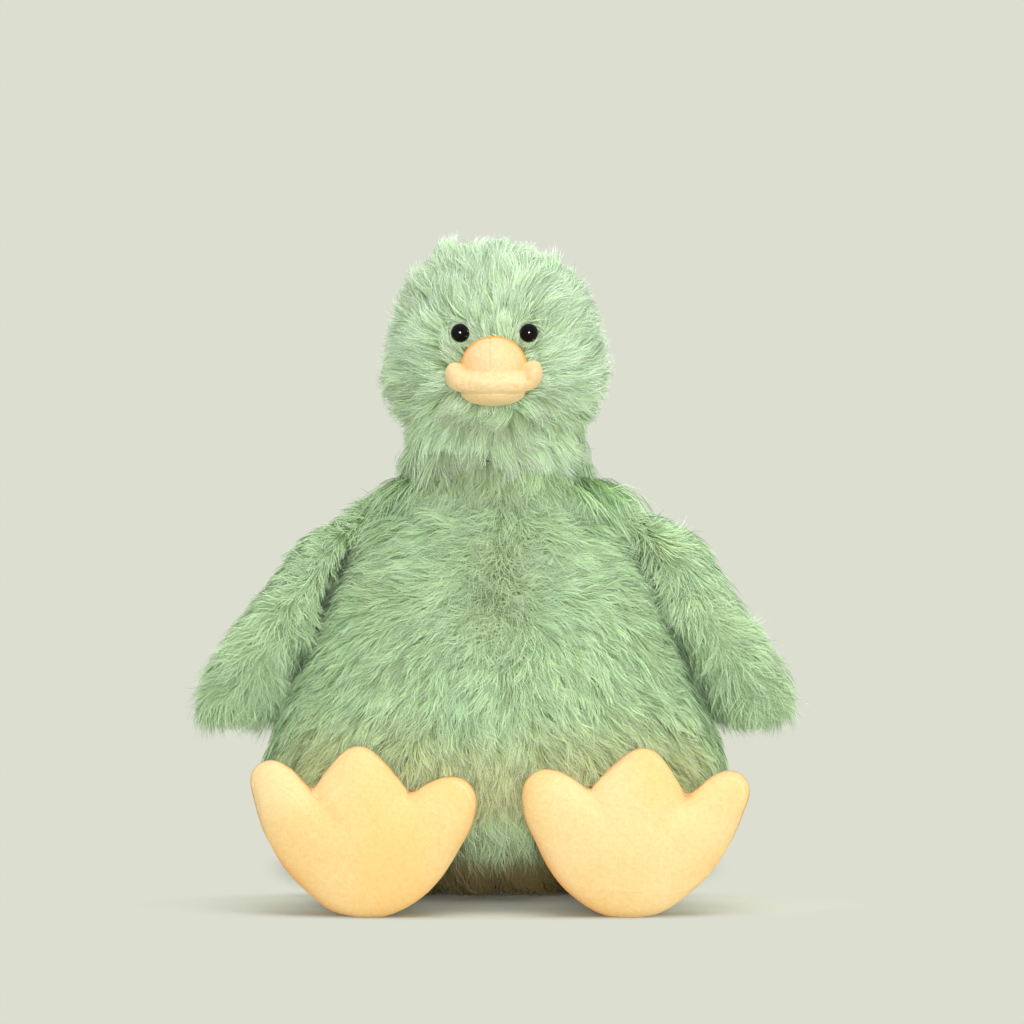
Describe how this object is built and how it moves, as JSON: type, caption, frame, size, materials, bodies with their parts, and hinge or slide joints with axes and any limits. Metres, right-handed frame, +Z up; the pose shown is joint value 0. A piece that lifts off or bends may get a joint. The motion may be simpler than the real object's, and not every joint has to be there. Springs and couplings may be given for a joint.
{
  "type": "plush duck",
  "caption": "Seated plush duck in long pale-green faux fur, with velour beak and three-toed feet, glossy safety eyes, hanging wings, a small tail and a head that turns and nods on a soft neck.",
  "frame": {"origin": "middle of the flat seat, on the surface that the duck sits on", "axes": "+Z up through the head, the duck looks along -Y, +X is to the right of someone who faces it"},
  "size_m": [0.2914, 0.2751, 0.317],
  "materials": {
    "body_fur": "long-pile faux fur, pale green",
    "head_fur": "long-pile faux fur, pale green, a little lighter at the face",
    "wing_fur": "long-pile faux fur, pale green",
    "foot_velour": "short-pile velour, warm yellow",
    "beak_velour": "short-pile velour, cream yellow",
    "wadding": "off-white polyester wadding",
    "calico": "unbleached woven cotton",
    "eye": "polished black plastic",
    "washer": "moulded white plastic"
  },
  "bodies": {
    "body": {"body_front_left_panel": "body_fur", "body_front_right_panel": "body_fur", "body_back_left_panel": "body_fur", "body_back_right_panel": "body_fur", "body_base_panel": "body_fur", "body_stuffing": "wadding", "pellet_pouch": "calico", "tail_upper_panel": "body_fur", "tail_lower_panel": "body_fur", "tail_stuffing": "wadding"},
    "neck": {"neck_wadding": "wadding"},
    "head": {"head_left_panel": "head_fur", "head_right_panel": "head_fur", "head_back_panel": "head_fur", "head_stuffing": "wadding", "eye_left": "eye", "eye_right": "eye", "eye_washer_left": "washer", "eye_washer_right": "washer", "beak_upper_left_panel": "beak_velour", "beak_upper_right_panel": "beak_velour", "beak_upper_stuffing": "wadding", "beak_lower_panel": "beak_velour", "beak_lower_stuffing": "wadding"},
    "wing_left": {"wing_left_outer_panel": "wing_fur", "wing_left_inner_panel": "wing_fur", "wing_left_stuffing": "wadding"},
    "wing_right": {"wing_right_outer_panel": "wing_fur", "wing_right_inner_panel": "wing_fur", "wing_right_stuffing": "wadding"},
    "foot_left": {"foot_left_sole_panel": "foot_velour", "foot_left_top_panel": "foot_velour", "foot_left_stuffing": "wadding", "leg_left": "body_fur"},
    "foot_right": {"foot_right_sole_panel": "foot_velour", "foot_right_top_panel": "foot_velour", "foot_right_stuffing": "wadding", "leg_right": "body_fur"}
  },
  "joints": [
    {"name": "head_turn", "type": "hinge", "parent": "body", "child": "neck", "pos_m": [0, 0, 0.188], "axis": [0, 0, 1], "range_deg": [-25, 25], "stiffness_Nm_per_rad": 0.5},
    {"name": "head_nod", "type": "hinge", "parent": "neck", "child": "head", "pos_m": [0, 0, 0.188], "axis": [1, 0, 0], "range_deg": [-10, 10], "stiffness_Nm_per_rad": 1},
    {"name": "wing_left_lift", "type": "hinge", "parent": "body", "child": "wing_left", "pos_m": [-0.06743, 0, 0.18554], "axis": [0, 1, 0], "range_deg": [0, 75]},
    {"name": "wing_right_lift", "type": "hinge", "parent": "body", "child": "wing_right", "pos_m": [0.06743, 0, 0.18554], "axis": [0, -1, 0], "range_deg": [0, 75]},
    {"name": "foot_left_tilt", "type": "hinge", "parent": "body", "child": "foot_left", "pos_m": [-0.05685, -0.10449, 0.03573], "axis": [1, 0, 0], "range_deg": [-20, 30], "stiffness_Nm_per_rad": 0.1},
    {"name": "foot_right_tilt", "type": "hinge", "parent": "body", "child": "foot_right", "pos_m": [0.05685, -0.10449, 0.03573], "axis": [1, 0, 0], "range_deg": [-20, 30], "stiffness_Nm_per_rad": 0.1}
  ]
}
